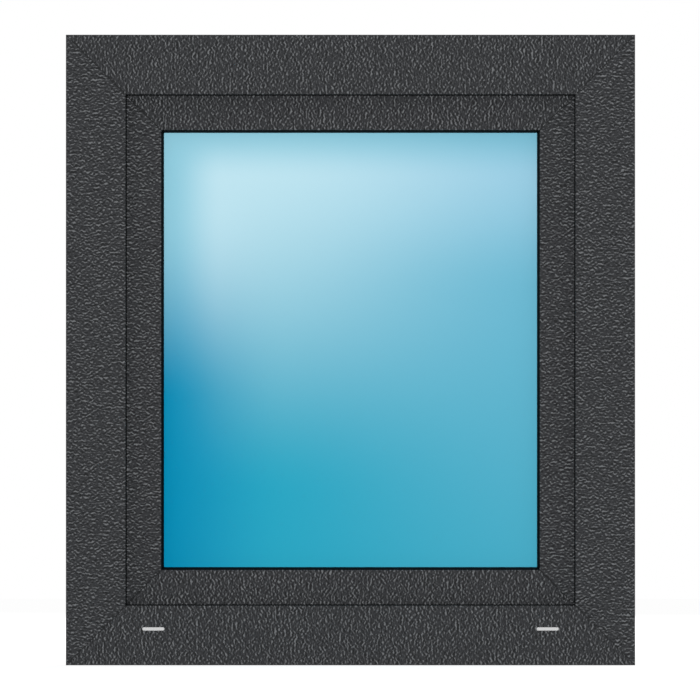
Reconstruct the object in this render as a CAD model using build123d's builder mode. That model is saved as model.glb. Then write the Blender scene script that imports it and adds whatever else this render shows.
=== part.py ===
"""A closed casement window: welded hollow plastic frame and sash, double glazing, gaskets and fittings.

Millimetres. X runs to the right seen from outside, Y from outside to inside, Z up.
The origin is the middle of the frame's underside. Profiles are drawn as sections in (depth, rise):
depth is Y, and rise counts from the frame's outer edge towards the middle of the window on all four sides.
"""

import os
from dataclasses import dataclass

from build123d import *

# Overall size of the frame
frame_width = 668.0
frame_height = 740.0

# Frame profile
frame_depth = 70.0
frame_face = 70.0
frame_nose_depth = 18.0
frame_rebate = 50.0
frame_rebate_rise = 2.0
gutter_width = 12.0
gutter_drop = 5.0
frame_edge_radius = 1.0

# Walls of the hollow profiles
outer_wall = 3.0
web = 2.0
edge_break = 0.8

# Anchor grooves in the frame's outer edge
anchor_groove_pitch = 42.0
anchor_groove_mouth = 7.0
anchor_groove_width = 10.0
anchor_groove_lip = 1.5
anchor_groove_depth = 3.8

# Holes for the frame screws, drilled through the jambs
fixing_hole_diameter = 6.2
fixing_hole_inset = 160.0

# Sash profile
sash_depth = 70.0
sash_face = 41.7
sash_rebate_air = 12.0
sash_overlap_height = 20.0
sash_edge_radius = 1.0
sash_overlap_radius = 4.0
glazing_leg_depth = 16.0
glazing_leg_height = 20.0
hardware_groove_setback = 13.0
hardware_groove_width = 16.0
hardware_groove_step = 3.0
gear_groove_width = 12.0
gear_groove_depth = 12.0

# Gaskets: each has a foot in a groove and a head that fills the gap it seals
seal_gap = 4.0
seal_groove_width = 3.0
seal_groove_depth = 4.0
seal_foot_clearance = 0.2
frame_seal_show = 1.2
frame_seal_groove_drop = 6.0
sash_seal_groove_rise = 3.0
seal_head_reach = 3.0
glazing_seal_thickness = 3.0
glazing_seal_show = 3.2
glazing_seal_groove_drop = 7.0
bead_seal_show = 1.5
bead_seal_groove_drop = 5.0

# Double glazing unit
pane_thickness = 4.0
glass_cavity = 16.0
glass_edge_gap = 5.0
pane_edge_break = 0.6
spacer_inset = 6.0
spacer_height = 6.5
glazing_block_length = 100.0
glazing_block_inset = 30.0

# Glazing beads
bead_nose_depth = 5.0
bead_heel_height = 7.0
bead_radius = 2.5
bead_foot_setback = 11.0
bead_foot_width = 3.4
bead_foot_depth = 5.0
bead_foot_clearance = 0.3

# Drain: slots from the gutter into the nose chamber, and capped slots from there to the outside
drain_cap_length = 26.0
drain_cap_height = 4.0
drain_cap_proud = 1.6
drain_cap_break = 0.6
drain_cap_inset = 102.6
drain_cap_rise = 42.6
drain_slot_length = 23.0
drain_slot_height = 2.6
drain_slot_clearance = 0.15
drain_outlet_length = 16.0
drain_outlet_depth = 0.8
drain_outlet_height = 2.4
gutter_slot_length = 25.0
gutter_slot_height = 5.0
gutter_slot_lift = 1.0
gutter_slot_inset = 170.0

# Handle on the inside of the sash stile, grip hanging down
handle_plate_width = 28.0
handle_plate_height = 68.0
handle_plate_thickness = 10.0
handle_plate_break = 3.0
handle_neck_diameter = 16.0
handle_neck_length = 12.0
handle_arm_height = 20.0
handle_reach = 46.0
handle_bend_radius = 18.0
handle_inner_bend_radius = 7.0
handle_length = 125.0
handle_grip_width = 21.0
handle_grip_thickness = 12.0
handle_tip_thickness = 9.0
handle_edge_break = 2.0

# Hinges on the inside, each with a bearing on the frame and a band on the sash
hinge_barrel_diameter = 15.0
hinge_barrel_length = 32.0
hinge_barrel_gap = 0.6
hinge_barrel_break = 1.2
hinge_barrel_sink = 1.0
hinge_pin_diameter = 7.0
hinge_pin_clearance = 0.1
hinge_pin_head_diameter = 11.0
hinge_pin_head_height = 3.0
hinge_pin_head_break = 1.0
hinge_leaf_thickness = 3.0
hinge_leaf_radius = 3.0
hinge_bearing_plate_width = 22.0
hinge_band_leaf_width = 24.0
hinge_edge_clearance = 1.0
hinge_corner_inset = 62.0

# Depths of the main planes, from outside to inside
frame_outside = -frame_depth / 2
frame_inside = frame_depth / 2
nose_back = frame_outside + frame_nose_depth
sash_outside = nose_back + seal_gap
sash_inside = sash_outside + sash_depth
overlap_front = frame_inside + seal_gap
leg_back = sash_outside + glazing_leg_depth
glass_outside = leg_back + glazing_seal_thickness
glass_inside = glass_outside + 2 * pane_thickness + glass_cavity
bead_front = glass_inside + glazing_seal_thickness

# Rises of the main levels, from the frame's outer edge
gutter_floor = frame_rebate - gutter_drop
sash_edge = frame_rebate + sash_rebate_air
overlap_tip = sash_edge - sash_overlap_height
leg_tip = frame_face + sash_face
glazing_floor = leg_tip - glazing_leg_height
glass_edge = glazing_floor + glass_edge_gap
anchor_groove_roof = anchor_groove_depth + outer_wall
bead_foot_front = sash_inside - bead_foot_setback - bead_foot_width


@dataclass
class Side:
    """One side of the window: the middle of its outer edge, the way it runs and the way to the middle."""

    name: str
    middle: Vector
    along: Vector
    inward: Vector
    length: float

    @property
    def plane(self):
        """The section plane: local X is depth and local Y is rise."""
        return Plane(self.middle, x_dir=(0, 1, 0), z_dir=self.along)

    def mitre(self, end):
        """The mitre plane at one end, 1 or -1, facing away from the piece that is kept."""
        corner = self.middle + self.along * (end * self.length / 2)
        return Plane(corner, x_dir=(0, 1, 0), z_dir=self.along * end + self.inward)

    def point(self, distance, depth, rise):
        """A point of the window from its place along the side, its depth and its rise."""
        return self.middle + self.along * distance + self.inward * rise + Vector(0, depth, 0)


bottom = Side("bottom", Vector(0, 0, 0), Vector(1, 0, 0), Vector(0, 0, 1), frame_width)
top = Side("top", Vector(0, 0, frame_height), Vector(-1, 0, 0), Vector(0, 0, -1), frame_width)
left = Side(
    "left", Vector(-frame_width / 2, 0, frame_height / 2), Vector(0, 0, -1), Vector(1, 0, 0), frame_height
)
right = Side(
    "right", Vector(frame_width / 2, 0, frame_height / 2), Vector(0, 0, 1), Vector(-1, 0, 0), frame_height
)
sides = (bottom, top, left, right)


def pocket(depths, rises, mode=Mode.SUBTRACT):
    """A rectangle of a section, from its two depths and its two rises."""
    with Locations(((depths[0] + depths[1]) / 2, (rises[0] + rises[1]) / 2)):
        Rectangle(depths[1] - depths[0], rises[1] - rises[0], mode=mode)


def corner_at(section, depth, rise):
    """The corner of a section that lies nearest to a place."""
    return section.vertices().sort_by_distance((depth, rise, 0))[0]


def frame_section():
    """Frame profile: outer nose, drain gutter, rebate, anchor grooves and chambers."""
    inside_rise = frame_rebate + frame_rebate_rise
    gutter_back = nose_back + gutter_width
    groove_top = frame_face - frame_seal_groove_drop + seal_groove_width
    groove_floor = frame_face - frame_seal_groove_drop
    nose_chamber = (frame_outside + outer_wall, nose_back - outer_wall)
    nose_chamber_width = nose_chamber[1] - nose_chamber[0]
    inside_chamber = (frame_inside - outer_wall - nose_chamber_width, frame_inside - outer_wall)
    middle_chamber = (nose_chamber[1] + web, inside_chamber[0] - web)
    middle_rise = (anchor_groove_roof + gutter_floor) / 2
    drain_floor = drain_cap_rise - drain_slot_height / 2
    with BuildSketch() as section:
        Polygon(
            (frame_outside, 0),
            (frame_outside, frame_face),
            (nose_back, frame_face),
            (nose_back, gutter_floor),
            (gutter_back, gutter_floor),
            (gutter_back, frame_rebate),
            (frame_inside, inside_rise),
            (frame_inside, 0),
            align=None,
        )
        fillet(corner_at(section, frame_outside, frame_face), frame_edge_radius)
        fillet(corner_at(section, frame_inside, inside_rise), frame_edge_radius)
        chamfer(corner_at(section, nose_back, frame_face), edge_break)
        chamfer(corner_at(section, frame_outside, 0), edge_break)
        chamfer(corner_at(section, frame_inside, 0), edge_break)
        pocket((nose_back - seal_groove_depth, nose_back), (groove_floor, groove_top))
        for middle in (-anchor_groove_pitch / 2, anchor_groove_pitch / 2):
            mouth = (middle - anchor_groove_mouth / 2, middle + anchor_groove_mouth / 2)
            hollow = (middle - anchor_groove_width / 2, middle + anchor_groove_width / 2)
            pocket(mouth, (0, anchor_groove_lip))
            pocket(hollow, (anchor_groove_lip, anchor_groove_depth))
        pocket(nose_chamber, (anchor_groove_roof, drain_floor - web))
        pocket(nose_chamber, (drain_floor, groove_floor - web))
        pocket(middle_chamber, (anchor_groove_roof, gutter_floor - outer_wall))
        pocket((gutter_back + web, middle_chamber[1]), (gutter_floor - outer_wall + web, frame_rebate - web))
        pocket(inside_chamber, (anchor_groove_roof, middle_rise))
        pocket(inside_chamber, (middle_rise + web, frame_rebate - outer_wall))
    return section.sketch


def sash_section():
    """Sash profile: glazing leg, glass rebate, bead groove, inner overlap, hardware groove and chambers."""
    hardware_middle = overlap_front - hardware_groove_setback
    step = (hardware_middle - hardware_groove_width / 2, hardware_middle + hardware_groove_width / 2)
    gear = (hardware_middle - gear_groove_width / 2, hardware_middle + gear_groove_width / 2)
    gear_roof = sash_edge + gear_groove_depth
    glazing_groove = leg_tip - glazing_seal_groove_drop
    sash_seal_groove = overlap_tip + sash_seal_groove_rise
    bead_foot_back = bead_foot_front + bead_foot_width
    bead_groove = (bead_foot_front - bead_foot_clearance, bead_foot_back + bead_foot_clearance)
    bead_groove_floor = glazing_floor - bead_foot_depth - bead_foot_clearance
    leg_chamber = (sash_outside + outer_wall, leg_back - seal_groove_depth - web)
    body_chamber = (leg_chamber[1] + web, step[0] - web)
    overlap_chamber = (overlap_front + seal_groove_depth + web, sash_inside - outer_wall)
    with BuildSketch() as section:
        Polygon(
            (sash_outside, sash_edge),
            (sash_outside, leg_tip),
            (leg_back, leg_tip),
            (leg_back, glazing_floor),
            (sash_inside, glazing_floor),
            (sash_inside, overlap_tip),
            (overlap_front, overlap_tip),
            (overlap_front, sash_edge),
            align=None,
        )
        fillet(corner_at(section, sash_outside, leg_tip), sash_edge_radius)
        fillet(corner_at(section, sash_inside, overlap_tip), sash_overlap_radius)
        chamfer(corner_at(section, sash_inside, glazing_floor), edge_break)
        chamfer(corner_at(section, overlap_front, overlap_tip), edge_break)
        chamfer(corner_at(section, sash_outside, sash_edge), edge_break)
        pocket((leg_back - seal_groove_depth, leg_back), (glazing_groove, glazing_groove + seal_groove_width))
        pocket(
            (overlap_front, overlap_front + seal_groove_depth),
            (sash_seal_groove, sash_seal_groove + seal_groove_width),
        )
        pocket(bead_groove, (bead_groove_floor, glazing_floor))
        pocket(step, (sash_edge, sash_edge + hardware_groove_step))
        pocket(gear, (sash_edge + hardware_groove_step, gear_roof))
        pocket(leg_chamber, (sash_edge + outer_wall, glazing_floor - outer_wall))
        pocket(leg_chamber, (glazing_floor - outer_wall + web, leg_tip - outer_wall))
        pocket(body_chamber, (sash_edge + outer_wall, gear_roof))
        pocket((body_chamber[0], step[1]), (gear_roof + web, glazing_floor - outer_wall))
        pocket((step[1] + web, overlap_chamber[1]), (sash_edge + outer_wall, bead_groove_floor - web))
        pocket(overlap_chamber, (overlap_tip + outer_wall, sash_edge + outer_wall - web))
    return section.sketch


def bead_section():
    """Glazing bead: flat against its gasket, sloping to the room, with a hollow and a clip foot."""
    heel = glazing_floor + bead_heel_height
    nose = bead_front + bead_nose_depth
    groove_floor = leg_tip - bead_seal_groove_drop
    hollow_front = bead_front + seal_groove_depth + web
    hollow_width = (sash_inside - hollow_front) / 2
    slope = (leg_tip - heel) / (sash_inside - nose)
    hollow_roof = leg_tip - (hollow_front + hollow_width - nose) * slope - outer_wall
    with BuildSketch() as section:
        Polygon(
            (bead_front, glazing_floor),
            (bead_front, leg_tip),
            (nose, leg_tip),
            (sash_inside, heel),
            (sash_inside, glazing_floor),
            align=None,
        )
        fillet(corner_at(section, nose, leg_tip), bead_radius)
        fillet(corner_at(section, sash_inside, heel), bead_radius)
        chamfer(corner_at(section, sash_inside, glazing_floor), edge_break)
        pocket(
            (bead_foot_front, bead_foot_front + bead_foot_width),
            (glazing_floor - bead_foot_depth, glazing_floor),
            Mode.ADD,
        )
        pocket((bead_front, bead_front + seal_groove_depth), (groove_floor, groove_floor + seal_groove_width))
        pocket((hollow_front, hollow_front + hollow_width), (glazing_floor + outer_wall, hollow_roof))
    return section.sketch


def seal_foot(face, groove_end, groove_floor):
    """The foot of a gasket, clear of its groove's sides and end."""
    end = groove_end - seal_foot_clearance if groove_end > face else groove_end + seal_foot_clearance
    rises = (groove_floor + seal_foot_clearance, groove_floor + seal_groove_width - seal_foot_clearance)
    pocket(sorted((face, end)), rises, Mode.ADD)


def frame_seal_section():
    """Outer stop gasket: foot in the nose, lip on the sash, edge just showing past the nose."""
    groove_floor = frame_face - frame_seal_groove_drop
    lip_tip = frame_face + frame_seal_show
    with BuildSketch() as section:
        Polygon(
            (nose_back, groove_floor - seal_head_reach),
            (nose_back, frame_face - edge_break),
            (nose_back + seal_gap / 2, lip_tip),
            (sash_outside, lip_tip),
            (sash_outside, groove_floor),
            align=None,
        )
        seal_foot(nose_back, nose_back - seal_groove_depth, groove_floor)
    return section.sketch


def sash_seal_section():
    """Inner stop gasket: foot in the sash overlap, lip on the frame's inside face."""
    groove_floor = overlap_tip + sash_seal_groove_rise
    with BuildSketch() as section:
        Polygon(
            (overlap_front, overlap_tip + edge_break),
            (overlap_front, groove_floor + seal_groove_width + seal_head_reach),
            (frame_inside, groove_floor + seal_groove_width),
            (frame_inside, overlap_tip),
            (frame_inside + seal_gap / 2, overlap_tip),
            align=None,
        )
        seal_foot(overlap_front, overlap_front + seal_groove_depth, groove_floor)
    return section.sketch


def outer_glazing_seal_section():
    """Outer glazing gasket: foot in the glazing leg, lip past the leg as the black line round the glass."""
    groove_floor = leg_tip - glazing_seal_groove_drop
    lip_tip = leg_tip + glazing_seal_show
    with BuildSketch() as section:
        Polygon(
            (leg_back, groove_floor - seal_head_reach),
            (leg_back, leg_tip),
            (leg_back - glazing_seal_thickness, leg_tip),
            (leg_back - glazing_seal_thickness, leg_tip + glazing_seal_show / 2),
            (glass_outside - glazing_seal_thickness / 3, lip_tip),
            (glass_outside, lip_tip),
            (glass_outside, groove_floor),
            align=None,
        )
        seal_foot(leg_back, leg_back - seal_groove_depth, groove_floor)
    return section.sketch


def inner_glazing_seal_section():
    """Inner glazing gasket: foot in the bead, thin lip past the bead against the inner pane."""
    groove_floor = leg_tip - bead_seal_groove_drop
    lip_tip = leg_tip + bead_seal_show
    with BuildSketch() as section:
        Polygon(
            (bead_front, groove_floor - seal_head_reach),
            (bead_front, leg_tip),
            (glass_inside + glazing_seal_thickness / 3, lip_tip),
            (glass_inside, lip_tip),
            (glass_inside, groove_floor),
            align=None,
        )
        seal_foot(bead_front, bead_front + seal_groove_depth, groove_floor)
    return section.sketch


def spacer_section():
    """Spacer bar of the double glazing, set in from the glass edge."""
    with BuildSketch() as section:
        pocket(
            (glass_outside + pane_thickness, glass_inside - pane_thickness),
            (glass_edge + spacer_inset, glass_edge + spacer_inset + spacer_height),
            Mode.ADD,
        )
    return section.sketch


def mitred_bar(side, section):
    """A section run along one side and cut off at both mitres."""
    with BuildPart() as bar:
        with BuildSketch(side.plane):
            add(section)
        extrude(amount=side.length / 2, both=True)
        for end in (1, -1):
            split(bisect_by=side.mitre(end), keep=Keep.BOTTOM)
    return bar.part


def mitred_ring(section):
    """A section run round all four sides as one closed loop."""
    with BuildPart() as ring:
        for side in sides:
            add(mitred_bar(side, section))
    return ring.part


def frame_jamb(side):
    """An upright of the frame, with its two holes for frame screws."""
    with BuildPart() as jamb:
        add(mitred_bar(side, frame_section()))
        fixing_offset = side.length / 2 - fixing_hole_inset
        with BuildSketch(Plane(side.middle, x_dir=(0, 1, 0), z_dir=side.inward)):
            with Locations((0, -fixing_offset), (0, fixing_offset)):
                Circle(fixing_hole_diameter / 2)
        extrude(amount=frame_face, mode=Mode.SUBTRACT)
    return jamb.part


def drain_places():
    """The drain caps' places on the frame's outer face, as distances from the middle."""
    offset = frame_width / 2 - drain_cap_inset
    return {"left": -offset, "right": offset}


def drain_plane():
    """The frame's outer face at the height of the drain slots, facing outwards."""
    return Plane((0, frame_outside, drain_cap_rise), x_dir=(1, 0, 0), z_dir=(0, -1, 0))


def frame_sill():
    """The frame's bottom rail, with drain slots from the gutter into the nose and through the outer wall."""
    gutter_slot_rise = gutter_floor + gutter_slot_lift + gutter_slot_height / 2
    gutter_slot_offset = bottom.length / 2 - gutter_slot_inset
    with BuildPart() as sill:
        add(mitred_bar(bottom, frame_section()))
        with BuildSketch(drain_plane()):
            with Locations(*[(place, 0) for place in drain_places().values()]):
                SlotOverall(drain_slot_length, drain_slot_height)
        extrude(amount=-(outer_wall + web), mode=Mode.SUBTRACT)
        with BuildSketch(Plane((0, nose_back, gutter_slot_rise), x_dir=(1, 0, 0), z_dir=(0, -1, 0))):
            with Locations((-gutter_slot_offset, 0), (gutter_slot_offset, 0)):
                Rectangle(gutter_slot_length, gutter_slot_height)
        extrude(amount=outer_wall + web, mode=Mode.SUBTRACT)
    return sill.part


def drain_cap(place):
    """A drain cap: a round-ended hood on the frame's face, open underneath, with a plug in the slot."""
    face = drain_plane()
    plug_length = drain_slot_length - 2 * drain_slot_clearance
    plug_height = drain_slot_height - 2 * drain_slot_clearance
    with BuildPart() as cap:
        with BuildSketch(face):
            with Locations((place, 0)):
                SlotOverall(drain_cap_length, drain_cap_height)
        extrude(amount=drain_cap_proud)
        chamfer(cap.faces().sort_by(Axis.Y)[0].edges(), drain_cap_break)
        with BuildSketch(face):
            with Locations((place, 0)):
                SlotOverall(plug_length, plug_height)
        extrude(amount=-outer_wall)
        with BuildSketch(face):
            with Locations((place, drain_outlet_height / 2 - drain_cap_height / 2)):
                Rectangle(drain_outlet_length, drain_outlet_height)
        extrude(amount=drain_outlet_depth, mode=Mode.SUBTRACT)
    return cap.part


def glass_pane(front):
    """One pane of the double glazing, with its edges broken."""
    with BuildPart() as pane:
        with BuildSketch(Plane((0, front, frame_height / 2), x_dir=(1, 0, 0), z_dir=(0, -1, 0))):
            Rectangle(frame_width - 2 * glass_edge, frame_height - 2 * glass_edge)
        extrude(amount=-pane_thickness)
        chamfer(pane.edges().filter_by(Axis.Y, reverse=True), pane_edge_break)
    return pane.part


def glazing_blocks():
    """The blocks that carry and centre the glass in its rebate, two on each side."""
    unit_depth = glass_inside - glass_outside
    with BuildPart() as blocks:
        for side in sides:
            reach = side.length / 2 - glass_edge - glazing_block_inset - glazing_block_length / 2
            for distance in (-reach, reach):
                middle = side.point(distance, glass_outside + unit_depth / 2, glazing_floor)
                with BuildSketch(Plane(middle, x_dir=(0, 1, 0), z_dir=side.inward)):
                    Rectangle(unit_depth, glazing_block_length)
                extrude(amount=glass_edge_gap)
    return blocks.part


def handle_place():
    """Where the handle's spindle meets the inside of the right sash stile."""
    spindle_rise = (overlap_tip + glazing_floor) / 2 + (glazing_floor - overlap_tip - handle_plate_width) / 4
    return right.point(0, sash_inside, spindle_rise)


def handle_rosette():
    """The handle's base plate, round-ended, with bevelled edges."""
    with BuildPart() as plate:
        with BuildSketch(Plane(handle_place(), x_dir=(0, 0, 1), z_dir=(0, 1, 0))):
            SlotOverall(handle_plate_height, handle_plate_width)
        extrude(amount=handle_plate_thickness)
        chamfer(plate.faces().sort_by(Axis.Y)[-1].edges(), handle_plate_break)
    return plate.part


def handle_lever():
    """The handle's lever: a round neck, and an arm bent down into a flat grip with round ends."""
    spindle = handle_place()
    arm_start = handle_plate_thickness + handle_neck_length
    arm_top = handle_arm_height / 2
    grip_front = handle_reach + handle_grip_thickness / 2
    grip_back = grip_front - handle_grip_thickness
    with BuildPart() as lever:
        with BuildSketch(Plane(spindle, x_dir=(0, 1, 0), z_dir=(1, 0, 0))) as bend:
            Polygon(
                (arm_start, -arm_top),
                (arm_start, arm_top),
                (grip_front, arm_top),
                (grip_front, -handle_length),
                (grip_front - handle_tip_thickness, -handle_length),
                (grip_back, -arm_top),
                align=None,
            )
            fillet(corner_at(bend, grip_front, arm_top), handle_bend_radius)
            fillet(corner_at(bend, grip_back, -arm_top), handle_inner_bend_radius)
        extrude(amount=handle_grip_width / 2, both=True)
        chamfer(lever.faces().filter_by(Axis.X).edges(), handle_edge_break)
        outline_middle = spindle + Vector(0, 0, (arm_top - handle_length) / 2)
        with BuildSketch(Plane(outline_middle, x_dir=(0, 0, 1), z_dir=(0, 1, 0))):
            SlotOverall(arm_top + handle_length, handle_grip_width)
        extrude(amount=grip_front, mode=Mode.INTERSECT)
        with BuildSketch(Plane(spindle, x_dir=(0, 0, 1), z_dir=(0, 1, 0)).offset(handle_plate_thickness)):
            Circle(handle_neck_diameter / 2)
        extrude(amount=handle_neck_length)
    return lever.part


def hinge_axis(upper):
    """A hinge's axis on the left, at the joint between its two barrels."""
    barrel_radius = hinge_barrel_diameter / 2
    rise = overlap_tip - hinge_edge_clearance - barrel_radius
    depth = frame_inside + hinge_leaf_thickness + barrel_radius - hinge_barrel_sink
    offset = frame_height / 2 - hinge_corner_inset - hinge_barrel_length
    return left.point(-offset if upper else offset, depth, rise)


def hinge_barrel(joint, way):
    """One barrel of a hinge, above or below the joint, bored for the pin."""
    start = joint + Vector(0, 0, way * hinge_barrel_gap / 2)
    with BuildPart() as barrel:
        with BuildSketch(Plane(start, x_dir=(1, 0, 0), z_dir=(0, 0, way))):
            Circle(hinge_barrel_diameter / 2)
        extrude(amount=hinge_barrel_length)
        chamfer(barrel.faces().sort_by(Axis.Z)[-1 if way > 0 else 0].edges(), hinge_barrel_break)
    return barrel.part


def hinge_bore(joint):
    """The bore for the pin through both barrels of a hinge."""
    with BuildPart() as bore:
        with BuildSketch(Plane(joint, x_dir=(1, 0, 0), z_dir=(0, 0, 1))):
            Circle(hinge_pin_diameter / 2 + hinge_pin_clearance)
        extrude(amount=hinge_barrel_length + hinge_barrel_gap, both=True)
    return bore.part


def hinge_frame_bearing(upper):
    """The hinge half on the frame: a plate on the frame's inside face, under its barrel."""
    joint = hinge_axis(upper)
    way = 1 if upper else -1
    middle = joint + Vector(0, 0, way * (hinge_barrel_gap + hinge_barrel_length) / 2)
    with BuildPart() as bearing:
        add(hinge_barrel(joint, way))
        plate_middle = Vector(middle.X, frame_inside, middle.Z)
        with BuildSketch(Plane(plate_middle, x_dir=(1, 0, 0), z_dir=(0, 1, 0))) as plate:
            with Locations(((hinge_barrel_diameter - hinge_bearing_plate_width) / 2, 0)):
                Rectangle(hinge_bearing_plate_width, hinge_barrel_length)
            fillet(plate.vertices().group_by(Axis.X)[0], hinge_leaf_radius)
        extrude(amount=hinge_leaf_thickness)
        with BuildSketch(Plane(plate_middle, x_dir=(1, 0, 0), z_dir=(0, 1, 0))):
            Rectangle(hinge_barrel_diameter / 2, hinge_barrel_length - 2 * hinge_barrel_break)
        extrude(amount=hinge_leaf_thickness + hinge_barrel_diameter / 2)
        add(hinge_bore(joint), mode=Mode.SUBTRACT)
    return bearing.part


def hinge_sash_band(upper):
    """The hinge half on the sash: a leaf on the overlap's inside face, cranked to the barrel."""
    joint = hinge_axis(upper)
    way = -1 if upper else 1
    middle = joint + Vector(0, 0, way * (hinge_barrel_gap + hinge_barrel_length) / 2)
    sash_corner = overlap_tip - frame_width / 2
    arm_depth = sash_inside + hinge_leaf_thickness - joint.Y
    arm_height = hinge_barrel_length - 2 * hinge_barrel_break
    with BuildPart() as band:
        add(hinge_barrel(joint, way))
        arm_middle = Vector(joint.X, joint.Y + arm_depth / 2, middle.Z)
        with BuildSketch(Plane(arm_middle, x_dir=(1, 0, 0), z_dir=(0, 0, 1))):
            Rectangle(hinge_barrel_diameter, arm_depth)
        extrude(amount=arm_height / 2, both=True)
        leaf_left = joint.X - hinge_barrel_diameter / 2
        leaf_right = sash_corner + hinge_band_leaf_width
        leaf_middle = Vector((leaf_left + leaf_right) / 2, sash_inside, middle.Z)
        with BuildSketch(Plane(leaf_middle, x_dir=(1, 0, 0), z_dir=(0, 1, 0))) as leaf:
            Rectangle(leaf_right - leaf_left, arm_height)
            fillet(leaf.vertices().group_by(Axis.X)[-1], hinge_leaf_radius)
        extrude(amount=hinge_leaf_thickness)
        add(hinge_bore(joint), mode=Mode.SUBTRACT)
    return band.part


def hinge_pin(upper):
    """The pin through both barrels, with a head on the upper barrel."""
    joint = hinge_axis(upper)
    foot = joint - Vector(0, 0, hinge_barrel_gap / 2 + hinge_barrel_length)
    head = joint + Vector(0, 0, hinge_barrel_gap / 2 + hinge_barrel_length)
    with BuildPart() as pin:
        with BuildSketch(Plane(foot, x_dir=(1, 0, 0), z_dir=(0, 0, 1))):
            Circle(hinge_pin_diameter / 2)
        extrude(amount=head.Z - foot.Z)
        with BuildSketch(Plane(head, x_dir=(1, 0, 0), z_dir=(0, 0, 1))):
            Circle(hinge_pin_head_diameter / 2)
        extrude(amount=hinge_pin_head_height)
        chamfer(pin.faces().sort_by(Axis.Z)[-1].edges(), hinge_pin_head_break)
    return pin.part


def all_pieces():
    """Every piece of the window by its name."""
    pieces = {
        "frame_sill": frame_sill(),
        "frame_head": mitred_bar(top, frame_section()),
        "frame_left_jamb": frame_jamb(left),
        "frame_right_jamb": frame_jamb(right),
        "frame_gasket": mitred_ring(frame_seal_section()),
        "sash_bottom_rail": mitred_bar(bottom, sash_section()),
        "sash_top_rail": mitred_bar(top, sash_section()),
        "sash_left_stile": mitred_bar(left, sash_section()),
        "sash_right_stile": mitred_bar(right, sash_section()),
        "sash_gasket": mitred_ring(sash_seal_section()),
        "outer_glazing_gasket": mitred_ring(outer_glazing_seal_section()),
        "outer_pane": glass_pane(glass_outside),
        "inner_pane": glass_pane(glass_inside - pane_thickness),
        "spacer_bar": mitred_ring(spacer_section()),
        "glazing_blocks": glazing_blocks(),
        "inner_glazing_gasket": mitred_ring(inner_glazing_seal_section()),
        "handle_rosette": handle_rosette(),
        "handle_lever": handle_lever(),
    }
    for side in sides:
        pieces[f"glazing_bead_{side.name}"] = mitred_bar(side, bead_section())
    for name, place in drain_places().items():
        pieces[f"drain_cap_{name}"] = drain_cap(place)
    for name, upper in (("upper", True), ("lower", False)):
        pieces[f"{name}_hinge_frame_bearing"] = hinge_frame_bearing(upper)
        pieces[f"{name}_hinge_sash_band"] = hinge_sash_band(upper)
        pieces[f"{name}_hinge_pin"] = hinge_pin(upper)
    return pieces


os.makedirs("parts", exist_ok=True)
for piece_name, piece in all_pieces().items():
    piece.label = piece_name
    export_step(piece, f"parts/{piece_name}.step")
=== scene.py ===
"""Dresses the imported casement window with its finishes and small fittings, and sets it in a white studio."""

import math

import bpy
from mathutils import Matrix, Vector


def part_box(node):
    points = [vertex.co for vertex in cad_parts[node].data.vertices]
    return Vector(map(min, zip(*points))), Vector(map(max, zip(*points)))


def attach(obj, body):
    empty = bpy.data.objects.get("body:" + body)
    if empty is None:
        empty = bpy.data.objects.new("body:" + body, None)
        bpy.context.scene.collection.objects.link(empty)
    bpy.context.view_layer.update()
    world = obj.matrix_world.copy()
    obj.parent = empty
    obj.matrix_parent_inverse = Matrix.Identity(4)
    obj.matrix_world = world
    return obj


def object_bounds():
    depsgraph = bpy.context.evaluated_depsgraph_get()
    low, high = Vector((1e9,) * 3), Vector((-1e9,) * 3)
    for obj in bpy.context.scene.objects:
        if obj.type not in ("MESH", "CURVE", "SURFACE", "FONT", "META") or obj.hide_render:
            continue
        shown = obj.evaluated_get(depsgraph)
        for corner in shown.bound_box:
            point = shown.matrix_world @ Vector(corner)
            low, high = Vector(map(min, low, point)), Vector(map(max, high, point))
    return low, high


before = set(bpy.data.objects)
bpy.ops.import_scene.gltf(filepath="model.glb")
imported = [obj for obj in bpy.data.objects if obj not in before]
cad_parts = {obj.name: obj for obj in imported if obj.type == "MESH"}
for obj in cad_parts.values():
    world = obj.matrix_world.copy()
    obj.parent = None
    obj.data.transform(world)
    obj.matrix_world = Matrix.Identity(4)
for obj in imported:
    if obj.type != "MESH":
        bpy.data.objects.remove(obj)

cad_low, cad_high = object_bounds()

bl_info = {
    "name": "Casement window",
    "version": (1, 0, 0),
    "blender": (4, 5, 0),
    "location": "View3D > Sidebar > Window",
    "description": "Finishes, hinge screws and studio for a plastic casement window",
    "category": "Object",
}

BODY = "root"
MM = 0.001

# Foil: slopes of the embossing at which the painted highlight on the lit flank of a ridge and the painted
# shade on its dark flank begin and are full
RIDGE_SLOPES = (0.03, 0.42)
HOLLOW_SLOPES = (0.0, -0.34)
# Foil: rate at which ridges wander, beside the grain's own rate, and the middle of a noise's range
WANDER_RATE = 0.9
NOISE_MIDDLE = 0.5
# Foil: share of the seam's reach that is darkest, how dark it is there, and the sheen and relief of the grain
SEAM_CORE = 0.4
SEAM_DARKNESS = 0.9
GROUND_ROUGHNESS = 0.62
RIDGE_ROUGHNESS = 0.48
FOIL_BUMP = 0.45
FOIL_RELIEF = 0.35 * MM

# Painted sky reflection in the glass: where its colours change, as shares of the glass from its left edge and
# down from its top edge
LEFT_HAZE = (0.015, 0.16)
LEFT_BLUE = (-0.05, 0.34)
RIGHT_SKY = (0.22, 1.12)
TOP_HAZE = (0.11, -0.007)
LEFT_FALL = (0.17, 0.62)
MIDDLE_FALL = (-0.02, 0.84)
RIGHT_QUICK_FALL = (0.07, 0.37)
RIGHT_SLOW_FALL = (0.12, 1.11)
RIGHT_QUICK_SHARE = 0.61

# Moulded and coated finishes: spread of the mottle, its change of sheen and its relief
SPECK_RANGE = (0.2, 0.8)
SHEEN_SPREAD = 0.05
MOTTLE_RELIEF = 0.1 * MM

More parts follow.
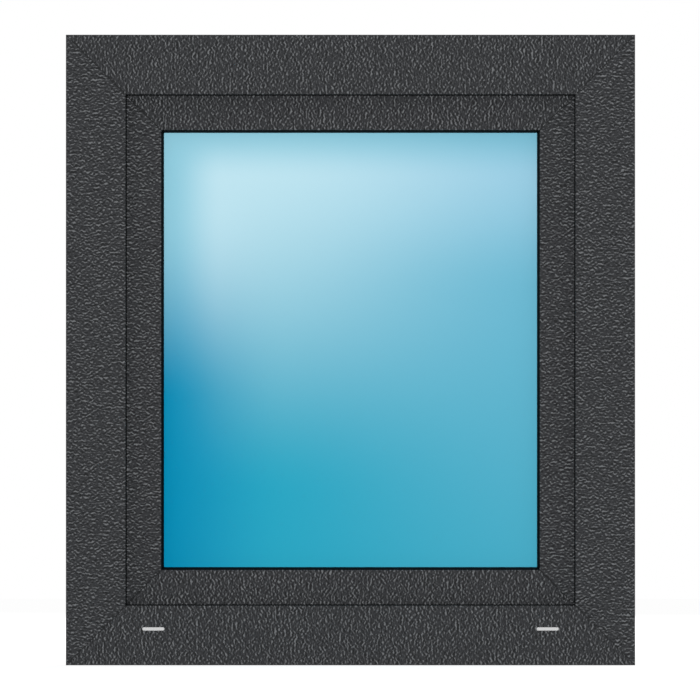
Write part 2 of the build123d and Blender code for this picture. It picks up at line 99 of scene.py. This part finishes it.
# Spacer bar and hinges: where the holes and screws sit, a reach being a share of the hinge piece's height
SPACER_HEIGHT = 6.5 * MM
PLATE_THICKNESS = 3 * MM
PLATE_SCREW_INSET = 3.5 * MM
PLATE_SCREW_REACH = 0.28
LEAF_SCREW_INSET = 11 * MM
LEAF_SCREW_REACH = 0.26

# Screw heads: sides, height as a share of the diameter, and the rest as shares of the radius
HEAD_SIDES = 32
HEAD_HEIGHT = 0.3
HEAD_CROWN = 0.72
RECESS_LENGTH = 1.1
RECESS_WIDTH = 0.26

# Studio, in metres, but the camera's sensor in millimetres
FLOOR_REACH = 8.0
FLOOR_DROP = 0.2 * MM
FLOOR_GREY = (0.5, 0.5, 0.5, 1.0)
FLOOR_GLOW = 0.8
KEY_SIZE = 1.6
KEY_PLACE = Vector((-0.3, -9.0, 0.9))
FILL_SIZE = 3.0
FILL_PLACE = Vector((1.6, 4.4, 2.2))
WHITE = (1.0, 1.0, 1.0, 1.0)
SENSOR_WIDTH = 36.0
CLIP_FACTOR = 10

LEVEL_BARS = (
    "frame_sill", "frame_head", "sash_bottom_rail", "sash_top_rail",
    "glazing_bead_bottom", "glazing_bead_top",
)
UPRIGHT_BARS = (
    "frame_left_jamb", "frame_right_jamb", "sash_left_stile", "sash_right_stile",
    "glazing_bead_left", "glazing_bead_right",
)
GASKETS = ("frame_gasket", "sash_gasket", "outer_glazing_gasket", "inner_glazing_gasket")
DRAIN_CAPS = ("drain_cap_left", "drain_cap_right")
HANDLE = ("handle_rosette", "handle_lever")
HINGES = ("upper_hinge", "lower_hinge")


def linear(code):
    """An sRGB hex colour as linear red, green and blue."""
    parts = [int(code[i:i + 2], 16) / 255 for i in (1, 3, 5)]
    return tuple(c / 12.92 if c <= 0.04045 else ((c + 0.055) / 1.055) ** 2.4 for c in parts)


def with_alpha(colour):
    """A colour property as the four numbers that a colour socket takes."""
    return (*colour, 1.0)


def colour_property(name, description, code):
    """A colour that a user can change, from its sRGB hex value."""
    return bpy.props.FloatVectorProperty(
        name=name, description=description, subtype="COLOR", size=3, min=0.0, max=1.0, default=linear(code)
    )


def length_property(name, description, default):
    """A length that a user can change, in metres."""
    return bpy.props.FloatProperty(
        name=name, description=description, default=default, min=0.0, unit="LENGTH"
    )


def strength_property(name, description, default):
    """The strength of a light that a user can change."""
    return bpy.props.FloatProperty(name=name, description=description, default=default, min=0.0)


class WindowFoilSettings(bpy.types.PropertyGroup):
    """The embossed foil on the frame, sash and beads."""

    # Hollow colour: painted shade on the dark flank of each ridge; the weld seams, dark joints, take the same
    # dark
    painted_hollow_shade: colour_property("Hollow", "Colour of the deepest hollows of the grain", "#1B1C1D")
    ground: colour_property("Ground", "Colour of the foil between ridges", "#303133")
    # Ridge colour: a painted highlight on the lit flank of each ridge of the grain
    ridge: colour_property("Ridge", "Colour of the worn tops of the ridges", "#6F7173")
    core: colour_property("Core", "Colour of the bare profile on the frame's outer edge", "#3C3D3F")
    ridge_spacing: length_property("Ridge spacing", "Distance between ridges along a bar", 2.3 * MM)
    ridge_length: length_property("Ridge length", "Length of a ridge across a bar", 3.2 * MM)
    ridge_width: length_property("Ridge width", "Width of the lit flank of a ridge", 1.6 * MM)
    ridge_sway: length_property("Ridge sway", "How far a ridge wanders to either side", 3.2 * MM)
    seam: length_property("Weld seam", "Reach of the seam to each side of a welded mitre", 1.6 * MM)
    seam_wander: length_property("Seam wander", "How far the grain pushes the seam's edge", 4.8 * MM)
    bare_reach: length_property("Bare reach", "How deep the bare outer edge and its grooves go", 5.0 * MM)
    wrap: length_property("Foil wrap", "How far the foil wraps from the faces onto the edge", 0.3 * MM)


class WindowGlassSettings(bpy.types.PropertyGroup):
    """The sky that shows in the glass, as a painted reflection in its colour."""

    pale: colour_property("Pale sky", "Brightest sky, high on the left", "#C2E6F1")
    haze: colour_property("Haze", "Sky along the top and the upper left edge", "#93CEE0")
    clear: colour_property("Clear sky", "Sky high on the right", "#98CCE3")
    corner: colour_property("Corner sky", "Sky in the top right corner", "#7CBFD6")
    teal: colour_property("Teal", "Low sky in the middle", "#29A6C3")
    deep: colour_property("Deep blue", "Low sky on the left", "#008CB7")
    soft: colour_property("Soft blue", "Low sky on the right", "#48ADC8")
    cover: length_property("Gasket cover", "How far the gasket covers the pane's edge", 18.0 * MM)


class WindowFittingSettings(bpy.types.PropertyGroup):
    """Colours of the gaskets, caps, handle and hinges, and the sizes of screws and spacer holes."""

    rubber: colour_property("Rubber", "Gaskets", "#07090A")
    cap: colour_property("Drain cap", "Drain caps", "#D0D0D0")
    metal: colour_property("Fitting metal", "Handle and hinges", "#B9BBBD")
    screw_head: length_property("Screw head", "Diameter of the hinge screws' heads", 5.6 * MM)
    hole_pitch: length_property("Hole pitch", "Distance between the holes in the spacer bar", 9.0 * MM)
    hole_size: length_property("Hole size", "Diameter of the holes in the spacer bar", 1.6 * MM)


class WindowStageSettings(bpy.types.PropertyGroup):
    """Camera and light."""

    distance: length_property("Camera distance", "From the frame's outer face", 30.0)
    picture_width: length_property("Picture width", "Width of the picture at the frame's outer face", 0.8215)
    aside: length_property("Aside", "Camera's place to the left of the middle", 0.58 * MM)
    ambient: strength_property("Ambient", "Even light from all round", 0.36)
    key: strength_property("Key", "Power of the soft lamp in front, in watts", 570.0)
    fill: strength_property("Fill", "Power of the soft lamp behind, in watts", 150.0)


def node(tree, kind, inputs=None, **settings):
    """Adds a node with its settings; an input is a value or a socket to link from."""
    made = tree.nodes.new(kind)
    for name, value in settings.items():
        setattr(made, name, value)
    for key, value in (inputs or {}).items():
        if isinstance(value, bpy.types.NodeSocket):
            tree.links.new(value, made.inputs[key])
        else:
            made.inputs[key].default_value = value
    return made


def new_material(name, **constants):
    """A material, its tree, its shader with the constants set, and the place in the window as coordinates."""
    material = bpy.data.materials.new(name)
    material.use_nodes = True
    tree = material.node_tree
    shader = tree.nodes["Principled BSDF"]
    for socket, value in constants.items():
        shader.inputs[socket.replace("_", " ")].default_value = value
    place = node(tree, "ShaderNodeTexCoord").outputs["Object"]
    return material, tree, shader, place


def dress(names, material):
    """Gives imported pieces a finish."""
    for name in names:
        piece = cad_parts[name]
        if not piece.material_slots:
            piece.data.materials.append(material)
        for slot in piece.material_slots:
            slot.material = material


def step(tree, operation, first, second=0.0):
    """The result of one step of arithmetic on two values."""
    return node(tree, "ShaderNodeMath", {0: first, 1: second}, operation=operation).outputs[0]


def vector_step(tree, operation, first, second):
    """The result of one step of arithmetic on two places."""
    return node(tree, "ShaderNodeVectorMath", {0: first, 1: second}, operation=operation).outputs[0]


def ramp(tree, value, low, high, start=0.0, end=1.0):
    """A value eased from start to end while it goes from low to high."""
    limits = {0: value, 1: low, 2: high, 3: start, 4: end}
    return node(tree, "ShaderNodeMapRange", limits, interpolation_type="SMOOTHSTEP").outputs[0]


def blend_colours(tree, factor, first, second):
    """Two colours blended by a factor."""
    return node(tree, "ShaderNodeMix", {0: factor, 6: first, 7: second}, data_type="RGBA").outputs[2]


def inset(tree, value, low, high):
    """How far a place lies inside the nearer of two outer edges."""
    from_middle = step(tree, "ABSOLUTE", step(tree, "SUBTRACT", value, (low + high) / 2))
    return step(tree, "SUBTRACT", (high - low) / 2, from_middle)


def emboss(tree, place, along_x, settings):
    """The grain's height, a painted highlight on the lit flank of each ridge and painted shade on its dark
    flank, from one noise taken twice along the bar.
    """
    fine, coarse = 1 / settings.ridge_spacing, 1 / settings.ridge_length
    scale = (fine, coarse, coarse) if along_x else (coarse, coarse, fine)
    wander = node(
        tree, "ShaderNodeTexNoise", {"Vector": place, "Scale": WANDER_RATE * coarse, "Detail": 1.0}
    ).outputs["Color"]
    sway = vector_step(tree, "SUBTRACT", wander, (NOISE_MIDDLE,) * 3)
    shift = vector_step(tree, "MULTIPLY", sway, (settings.ridge_sway,) * 3)
    swayed = vector_step(tree, "ADD", place, shift)
    flank = (settings.ridge_width, 0.0, 0.0) if along_x else (0.0, 0.0, settings.ridge_width)
    heights = []
    for offset in ((0.0, 0.0, 0.0), flank):
        grain_place = vector_step(tree, "MULTIPLY", vector_step(tree, "ADD", swayed, offset), scale)
        noise = node(tree, "ShaderNodeTexNoise", {"Vector": grain_place, "Scale": 1.0, "Detail": 0.0})
        heights.append(noise.outputs["Fac"])
    slope = step(tree, "SUBTRACT", *heights)
    return heights[0], ramp(tree, slope, *RIDGE_SLOPES), ramp(tree, slope, *HOLLOW_SLOPES)


def weld_seam(tree, from_side, from_end, height, settings):
    """The dark line of a welded mitre, broken by the grain's height."""
    off_mitre = step(tree, "ABSOLUTE", step(tree, "SUBTRACT", from_side, from_end))
    push = step(tree, "MULTIPLY", step(tree, "SUBTRACT", height, NOISE_MIDDLE), settings.seam_wander)
    off_seam = step(tree, "ADD", off_mitre, push)
    return ramp(tree, off_seam, SEAM_CORE * settings.seam, settings.seam, SEAM_DARKNESS, 0.0)


def bare_edge(tree, from_edge, depth, settings):
    """One on the frame's outer edge and in its grooves, which the foil on the two faces leaves bare."""
    low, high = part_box("frame_sill")
    outermost = step(tree, "LESS_THAN", from_edge, settings.bare_reach)
    off_face = step(tree, "GREATER_THAN", inset(tree, depth, low.y, high.y), settings.wrap)
    return step(tree, "MULTIPLY", outermost, off_face)


def grained_foil(name, along_x, settings):
    """PVC foil embossed with a leather grain: matt dark grey, thin ridges across the bar with a painted
    highlight on their lit flanks and painted shade in the hollows beside them.

    A dark seam marks each welded mitre, and the frame's outer edge shows the bare, smoother profile.
    """
    material, tree, shader, place = new_material(name, Specular_IOR_Level=0.2)
    height, ridge, painted_hollow_shade = emboss(tree, place, along_x, settings)
    across, depth, up = node(tree, "ShaderNodeSeparateXYZ", {0: place}).outputs
    from_side = inset(tree, across, cad_low.x, cad_high.x)
    from_end = inset(tree, up, cad_low.z, cad_high.z)
    seam = weld_seam(tree, from_side, from_end, height, settings)
    bare = bare_edge(tree, from_end if along_x else from_side, depth, settings)

    # Painted shade on the dark flank of each ridge, in the grain's hollows
    ground = blend_colours(tree, painted_hollow_shade, with_alpha(settings.ground), with_alpha(settings.painted_hollow_shade))
    # Painted highlight on the lit flank of each ridge
    foil = blend_colours(tree, ridge, ground, with_alpha(settings.ridge))
    # The weld seam, a dark joint, takes the same dark colour as the painted shade
    seamed = blend_colours(tree, seam, foil, with_alpha(settings.painted_hollow_shade))
    surface = blend_colours(tree, bare, seamed, with_alpha(settings.core))
    tree.links.new(surface, shader.inputs["Base Color"])

    grained = step(tree, "SUBTRACT", 1.0, bare)
    # The ridges that carry the painted highlight are also a little glossier
    highlit = step(tree, "MULTIPLY", ridge, grained)
    sheen = ramp(tree, highlit, 0.0, 1.0, GROUND_ROUGHNESS, RIDGE_ROUGHNESS)
    tree.links.new(sheen, shader.inputs["Roughness"])
    relief = step(tree, "SUBTRACT", ridge, step(tree, "MAXIMUM", painted_hollow_shade, seam))
    raised = step(tree, "MULTIPLY", relief, grained)
    bump = node(tree, "ShaderNodeBump", {"Height": raised, "Strength": FOIL_BUMP, "Distance": FOIL_RELIEF})
    tree.links.new(bump.outputs[0], shader.inputs["Normal"])
    return material


def painted_sky_glass(settings):
    """Float glass with a painted reflection of a soft sky as its colour: pale high up, teal low down, deep
    blue on the lower left.
    """
    material, tree, shader, place = new_material(
        "float_glass_with_painted_sky", Roughness=0.06, Specular_IOR_Level=0.02
    )
    low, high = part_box("outer_pane")
    left, right = low.x + settings.cover, high.x - settings.cover
    floor, top = low.z + settings.cover, high.z - settings.cover
    width, height = right - left, top - floor
    axes = node(tree, "ShaderNodeSeparateXYZ", {0: place}).outputs
    across, up = axes[0], axes[2]

    def along(span, start=0.0, end=1.0):
        """A value that goes from start to end over a stretch of the glass's width."""
        return ramp(tree, across, left + span[0] * width, left + span[1] * width, start, end)

    def falling(span, size=1.0):
        """A value that goes from none to a size over a stretch of the glass's height."""
        return ramp(tree, up, top - span[0] * height, top - span[1] * height, 0.0, size)

    def over_width(at_left, left_part, middle, at_right):
        """What holds on the left, in the middle and on the right, blended across the glass."""
        return blend_colours(tree, on_right, blend_colours(tree, left_part, middle, at_left), at_right)

    near_left = along(LEFT_HAZE, 1.0, 0.0)
    on_left = along(LEFT_BLUE, 1.0, 0.0)
    on_right = along(RIGHT_SKY)
    pale, haze, clear = with_alpha(settings.pale), with_alpha(settings.haze), with_alpha(settings.clear)
    teal, deep, soft = with_alpha(settings.teal), with_alpha(settings.deep), with_alpha(settings.soft)
    top_sky = blend_colours(tree, on_right, haze, with_alpha(settings.corner))
    upper = blend_colours(tree, falling(TOP_HAZE), over_width(haze, near_left, pale, clear), top_sky)
    lower = over_width(deep, on_left, teal, soft)
    quick_fall = falling(RIGHT_QUICK_FALL, RIGHT_QUICK_SHARE)
    slow_fall = falling(RIGHT_SLOW_FALL, 1 - RIGHT_QUICK_SHARE)
    right_fall = step(tree, "ADD", quick_fall, slow_fall)
    fall = over_width(falling(LEFT_FALL), on_left, falling(MIDDLE_FALL), right_fall)
    # The painted sky reflection becomes the glass's base colour
    sky = blend_colours(tree, fall, upper, lower)
    tree.links.new(sky, shader.inputs["Base Color"])
    return material


def clear_glass():
    """Clear float glass: smooth and nearly colourless, with a trace of green."""
    tint = with_alpha(linear("#F4FAF8"))
    constants = {"Base_Color": tint, "Roughness": 0.0, "IOR": 1.52, "Transmission_Weight": 1.0}
    return new_material("clear_float_glass", **constants)[0]


def mottled(name, colour, grain, spread, roughness, bump=0.1, **constants):
    """A moulded or coated finish: one colour with a faint mottle, and a surface of a given grain size."""
    material, tree, shader, place = new_material(name, **constants)
    noise = node(tree, "ShaderNodeTexNoise", {"Vector": place, "Scale": 1 / grain, "Detail": 2.0})
    speck = noise.outputs["Fac"]
    dark = with_alpha([c * (1 - spread) for c in colour])
    light = with_alpha([min(1.0, c * (1 + spread)) for c in colour])
    tree.links.new(blend_colours(tree, speck, dark, light), shader.inputs["Base Color"])
    sheen = ramp(tree, speck, *SPECK_RANGE, roughness - SHEEN_SPREAD, roughness + SHEEN_SPREAD)
    tree.links.new(sheen, shader.inputs["Roughness"])
    surface = node(tree, "ShaderNodeBump", {"Height": speck, "Strength": bump, "Distance": MOTTLE_RELIEF})
    tree.links.new(surface.outputs[0], shader.inputs["Normal"])
    return material


def piece_from_nodes(name, points, tree_maker):
    """Makes a piece by a node tree on a set of points, as a plain mesh that rides with the window."""
    mesh = bpy.data.meshes.new(name + "_points")
    mesh.from_pydata([tuple(p) for p in points], [], [])
    carrier = bpy.data.objects.new(name + "_carrier", mesh)
    bpy.context.collection.objects.link(carrier)
    modifier = carrier.modifiers.new(name, "NODES")
    group, values = tree_maker(name)
    modifier.node_group = group
    for item in group.interface.items_tree:
        if item.in_out == "INPUT" and item.name in values:
            modifier[item.identifier] = values[item.name]
    evaluated = carrier.evaluated_get(bpy.context.evaluated_depsgraph_get())
    piece = bpy.data.objects.new(name, bpy.data.meshes.new_from_object(evaluated))
    bpy.context.collection.objects.link(piece)
    bpy.data.objects.remove(carrier)
    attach(piece, BODY)


def node_group(name, inputs):
    """An empty geometry tree with a geometry input, named length inputs and a geometry output."""
    group = bpy.data.node_groups.new(name, "GeometryNodeTree")
    group.interface.new_socket("Geometry", in_out="INPUT", socket_type="NodeSocketGeometry")
    group.interface.new_socket("Geometry", in_out="OUTPUT", socket_type="NodeSocketGeometry")
    for label in inputs:
        group.interface.new_socket(label, in_out="INPUT", socket_type="NodeSocketFloat")
    return group, node(group, "NodeGroupInput").outputs


def close_group(group, points, instance, material, rotation=(0.0, 0.0, 0.0)):
    """Sets an instance on each point, makes it real and gives it its material."""
    given = {"Points": points, "Instance": instance, "Rotation": rotation}
    spots = node(group, "GeometryNodeInstanceOnPoints", given)
    real = node(group, "GeometryNodeRealizeInstances", {0: spots.outputs[0]})
    painted = node(group, "GeometryNodeSetMaterial", {0: real.outputs[0], "Material": material})
    node(group, "NodeGroupOutput", {0: painted.outputs[0]})


def screw_tree(material, head):
    """Cross-recessed screw heads, tapering to a flat crown, facing the room."""
    to_room = (-math.pi / 2, 0.0, 0.0)

    def build(name):
        group, given = node_group(name, ("Head diameter",))
        radius = step(group, "MULTIPLY", given["Head diameter"], 0.5)
        height = step(group, "MULTIPLY", given["Head diameter"], HEAD_HEIGHT)
        crown = step(group, "MULTIPLY", radius, HEAD_CROWN)
        head_shape = node(
            group, "GeometryNodeMeshCone",
            {"Vertices": HEAD_SIDES, "Radius Top": crown, "Radius Bottom": radius, "Depth": height},
        ).outputs[0]
        long_side = step(group, "MULTIPLY", radius, RECESS_LENGTH)
        short_side = step(group, "MULTIPLY", radius, RECESS_WIDTH)
        bars = []
        for first, second in ((long_side, short_side), (short_side, long_side)):
            size = node(group, "ShaderNodeCombineXYZ", {0: first, 1: second, 2: height}).outputs[0]
            bar = node(group, "GeometryNodeMeshCube", {"Size": size}).outputs[0]
            lift = node(group, "ShaderNodeCombineXYZ", {2: height}).outputs[0]
            bars.append(node(group, "GeometryNodeTransform", {0: bar, "Translation": lift}).outputs[0])
        cut = head_shape
        for bar in bars:
            cut = node(group, "GeometryNodeMeshBoolean", {0: cut, 1: bar}, operation="DIFFERENCE").outputs[0]
        close_group(group, given["Geometry"], cut, material, to_room)
        return group, {"Head diameter": head}

    return build


def hole_tree(material, size):
    """Small round holes, as dark dots of painted shade half sunk in the bar."""

    def build(name):
        group, given = node_group(name, ("Hole diameter",))
        radius = step(group, "MULTIPLY", given["Hole diameter"], 0.5)
        dot = node(group, "GeometryNodeMeshIcoSphere", {"Radius": radius, "Subdivisions": 1}).outputs[0]
        close_group(group, given["Geometry"], dot, material)
        return group, {"Hole diameter": size}

    return build


class WINDOW_OT_foil(bpy.types.Operator):
    """Covers the frame, sash and beads with grained foil, its grain turning at the mitres"""

    bl_idname = "window.foil"
    bl_label = "Grained foil"

    def execute(self, context):
        settings = context.scene.window_foil
        dress(LEVEL_BARS, grained_foil("leather_grained_foil_level", True, settings))
        dress(UPRIGHT_BARS, grained_foil("leather_grained_foil_upright", False, settings))
        return {"FINISHED"}


class WINDOW_OT_gaskets(bpy.types.Operator):
    """Gives the gaskets their black rubber"""

    bl_idname = "window.gaskets"
    bl_label = "Gaskets"

    def execute(self, context):
        # EPDM rubber, extruded: near black and matt, with a faint bloom
        colour = context.scene.window_fittings.rubber
        rubber = mottled(
            "epdm_rubber", colour, grain=3 * MM, spread=0.25, roughness=0.6, Specular_IOR_Level=0.05
        )
        dress(GASKETS, rubber)
        return {"FINISHED"}


class WINDOW_OT_glazing(bpy.types.Operator):
    """Glazes the sash: panes, spacer bar with its row of holes, and blocks"""

    bl_idname = "window.glazing"
    bl_label = "Double glazing"

    def execute(self, context):
        settings = context.scene.window_fittings
        # The outer pane carries the painted sky reflection, the inner pane is clear
        dress(("outer_pane",), painted_sky_glass(context.scene.window_glass))
        dress(("inner_pane",), clear_glass())
        # Roll-formed aluminium: bare, fairly bright, with soft reflections
        aluminium = mottled(
            "mill_aluminium", linear("#A9ABAD"), grain=6 * MM, spread=0.06, roughness=0.38, Metallic=1.0
        )
        dress(("spacer_bar",), aluminium)
        # Polypropylene, moulded: evenly coloured and slightly waxy
        block = mottled("moulded_polypropylene", linear("#3E63A8"), grain=5 * MM, spread=0.05, roughness=0.5)
        dress(("glazing_blocks",), block)
        # The holes are only seen as dark dots, painted shade for their shaded insides
        shade = mottled("punched_hole_shade", linear("#141516"), grain=2 * MM, spread=0.1, roughness=0.8)
        places = self.hole_places(settings.hole_pitch)
        piece_from_nodes("spacer_holes", places, hole_tree(shade, settings.hole_size))
        return {"FINISHED"}

    def hole_places(self, pitch):
        """Points along the middle of the spacer's inner faces."""
        low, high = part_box("spacer_bar")
        left, right = low.x + SPACER_HEIGHT, high.x - SPACER_HEIGHT
        floor, top = low.z + SPACER_HEIGHT, high.z - SPACER_HEIGHT
        depth = (low.y + high.y) / 2
        across = [left + pitch * (i + 0.5) for i in range(int((right - left) / pitch))]
        upward = [floor + pitch * (i + 0.5) for i in range(int((top - floor) / pitch))]
        level = [Vector((x, depth, z)) for z in (floor, top) for x in across]
        return level + [Vector((x, depth, z)) for x in (left, right) for z in upward]


class WINDOW_OT_drain_caps(bpy.types.Operator):
    """Colours the drain caps"""

    bl_idname = "window.drain_caps"
    bl_label = "Drain caps"

    def execute(self, context):
        # ASA, moulded: plain light grey with a satin skin
        colour = context.scene.window_fittings.cap
        dress(DRAIN_CAPS, mottled("moulded_asa", colour, grain=4 * MM, spread=0.02, roughness=0.45))
        return {"FINISHED"}


class WINDOW_OT_handle(bpy.types.Operator):
    """Finishes the handle"""

    bl_idname = "window.handle"
    bl_label = "Handle"

    def execute(self, context):
        # Anodised aluminium, bead blasted: pale grey, soft sheen, very fine grit
        colour = context.scene.window_fittings.metal
        aluminium = mottled(
            "anodised_aluminium", colour, grain=1.2 * MM, spread=0.05, roughness=0.36, Metallic=1.0
        )
        dress(HANDLE, aluminium)
        return {"FINISHED"}


class WINDOW_OT_hinges(bpy.types.Operator):
    """Finishes the hinges and sets their screws"""

    bl_idname = "window.hinges"
    bl_label = "Hinges"

    def execute(self, context):
        settings = context.scene.window_fittings
        # Powder-coated zinc die casting: silver grey, satin, with a slight orange peel
        coat = mottled(
            "powder_coated_zinc", settings.metal, grain=1.5 * MM, spread=0.06, roughness=0.42, bump=0.2,
            Metallic=0.7,
        )
        # Zinc-plated steel: bright, turned
        steel = mottled(
            "zinc_plated_steel", linear("#C6C7C4"), grain=2 * MM, spread=0.08, roughness=0.3, Metallic=1.0
        )
        for hinge in HINGES:
            dress((hinge + "_frame_bearing", hinge + "_sash_band"), coat)
            dress((hinge + "_pin",), steel)
        screw = screw_tree(steel, settings.screw_head)
        piece_from_nodes("hinge_screws", self.screw_places(), screw)
        return {"FINISHED"}

    def screw_places(self):
        """Two screws in each bearing plate beside the barrel, and two in each band's leaf."""
        places = []
        for hinge in HINGES:
            low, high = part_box(hinge + "_frame_bearing")
            plate_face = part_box("frame_left_jamb")[1].y + PLATE_THICKNESS
            middle, reach = (low.z + high.z) / 2, (high.z - low.z) * PLATE_SCREW_REACH
            across = low.x + PLATE_SCREW_INSET
            places += [Vector((across, plate_face, middle + side * reach)) for side in (-1, 1)]
            low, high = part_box(hinge + "_sash_band")
            middle, reach = (low.z + high.z) / 2, (high.z - low.z) * LEAF_SCREW_REACH
            across = high.x - LEAF_SCREW_INSET
            places += [Vector((across, high.y, middle + side * reach)) for side in (-1, 1)]
        return places


class WINDOW_OT_stage(bpy.types.Operator):
    """Sets the floor, the lights and the camera"""

    bl_idname = "window.stage"
    bl_label = "Studio"

    def execute(self, context):
        settings = context.scene.window_stage
        context.scene.view_settings.view_transform = "Standard"
        self.floor(context)
        self.world(context, settings.ambient)
        target = Vector((0.0, 0.0, (cad_low.z + cad_high.z) / 2))
        self.lamp(context, "key", settings.key, KEY_SIZE, KEY_PLACE, target, False)
        self.lamp(context, "fill", settings.fill, FILL_SIZE, FILL_PLACE, target, True)
        self.camera(context, settings, target)
        return {"FINISHED"}

    def floor(self, context):
        """A white floor that keeps the window's shadow."""
        mesh = bpy.data.meshes.new("studio_floor")
        corners = ((-1, -1), (1, -1), (1, 1), (-1, 1))
        level = cad_low.z - FLOOR_DROP
        points = [(x * FLOOR_REACH, y * FLOOR_REACH, level) for x, y in corners]
        mesh.from_pydata(points, [], [(0, 1, 2, 3)])
        floor = bpy.data.objects.new("studio_floor", mesh)
        context.collection.objects.link(floor)
        material = bpy.data.materials.new("studio_floor_white")
        material.use_nodes = True
        tree = material.node_tree
        tree.nodes.clear()
        seen = self.seen_directly(tree)
        matt = node(tree, "ShaderNodeBsdfDiffuse", {"Color": FLOOR_GREY}).outputs[0]
        glow = node(tree, "ShaderNodeEmission", {"Strength": FLOOR_GLOW}).outputs[0]
        both = node(tree, "ShaderNodeAddShader", {0: matt, 1: glow}).outputs[0]
        mixed = node(tree, "ShaderNodeMixShader", {0: seen, 1: matt, 2: both}).outputs[0]
        node(tree, "ShaderNodeOutputMaterial", {"Surface": mixed})
        mesh.materials.append(material)

    def seen_directly(self, tree):
        """One for rays that show the background: straight, mirrored or through glass."""
        path = node(tree, "ShaderNodeLightPath").outputs
        pair = step(tree, "MAXIMUM", path["Is Camera Ray"], path["Is Glossy Ray"])
        return step(tree, "MAXIMUM", pair, path["Is Transmission Ray"])

    def world(self, context, ambient):
        """White to the eye, and an even light on the window."""
        world = bpy.data.worlds.new("studio")
        world.use_nodes = True
        context.scene.world = world
        tree = world.node_tree
        strength = node(
            tree, "ShaderNodeMapRange", {0: self.seen_directly(tree), 1: 0.0, 2: 1.0, 3: ambient, 4: 1.0}
        ).outputs[0]
        background = tree.nodes["Background"]
        background.inputs["Color"].default_value = WHITE
        tree.links.new(strength, background.inputs["Strength"])

    def lamp(self, context, name, power, size, place, target, mirrored):
        """A large soft lamp turned to the window, mirrored in its glass and metal or not."""
        data = bpy.data.lights.new(name, "AREA")
        data.energy, data.size = power, size
        lamp = bpy.data.objects.new(name, data)
        lamp.location = place
        lamp.rotation_euler = (target - place).to_track_quat("-Z", "Y").to_euler()
        lamp.visible_glossy = mirrored
        context.collection.objects.link(lamp)

    def camera(self, context, settings, target):
        """A long lens square to the outer face."""
        data = bpy.data.cameras.new("camera")
        data.sensor_width = SENSOR_WIDTH
        data.lens = SENSOR_WIDTH * settings.distance / settings.picture_width
        data.clip_end = CLIP_FACTOR * settings.distance
        camera = bpy.data.objects.new("camera", data)
        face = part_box("frame_sill")[0].y
        camera.location = (-settings.aside, face - settings.distance, target.z)
        camera.rotation_euler = (math.pi / 2, 0.0, 0.0)
        context.collection.objects.link(camera)
        context.scene.camera = camera


SETTINGS = {
    "window_foil": WindowFoilSettings,
    "window_glass": WindowGlassSettings,
    "window_fittings": WindowFittingSettings,
    "window_stage": WindowStageSettings,
}
OPERATORS = (
    WINDOW_OT_foil, WINDOW_OT_gaskets, WINDOW_OT_glazing, WINDOW_OT_drain_caps,
    WINDOW_OT_handle, WINDOW_OT_hinges, WINDOW_OT_stage,
)


class WINDOW_PT_panel(bpy.types.Panel):
    """Lists the window's steps and settings"""

    bl_idname = "WINDOW_PT_panel"
    bl_label = "Casement window"
    bl_space_type = "VIEW_3D"
    bl_region_type = "UI"
    bl_category = "Window"

    def draw(self, context):
        for operator in OPERATORS:
            self.layout.operator(operator.bl_idname)
        for name, group in SETTINGS.items():
            box = self.layout.box()
            for key in group.__annotations__:
                box.prop(getattr(context.scene, name), key)


def register():
    """Makes the settings, the operators and the panel known."""
    for name, group in SETTINGS.items():
        bpy.utils.register_class(group)
        setattr(bpy.types.Scene, name, bpy.props.PointerProperty(type=group))
    for made in (*OPERATORS, WINDOW_PT_panel):
        bpy.utils.register_class(made)


def unregister():
    """Takes them all away again."""
    for made in reversed((*OPERATORS, WINDOW_PT_panel)):
        bpy.utils.unregister_class(made)
    for name, group in SETTINGS.items():
        delattr(bpy.types.Scene, name)
        bpy.utils.unregister_class(group)


def main():
    """Makes the whole scene."""
    register()
    bpy.ops.window.foil()
    bpy.ops.window.gaskets()
    bpy.ops.window.glazing()
    bpy.ops.window.drain_caps()
    bpy.ops.window.handle()
    bpy.ops.window.hinges()
    bpy.ops.window.stage()


if __name__ == "__main__":
    main()
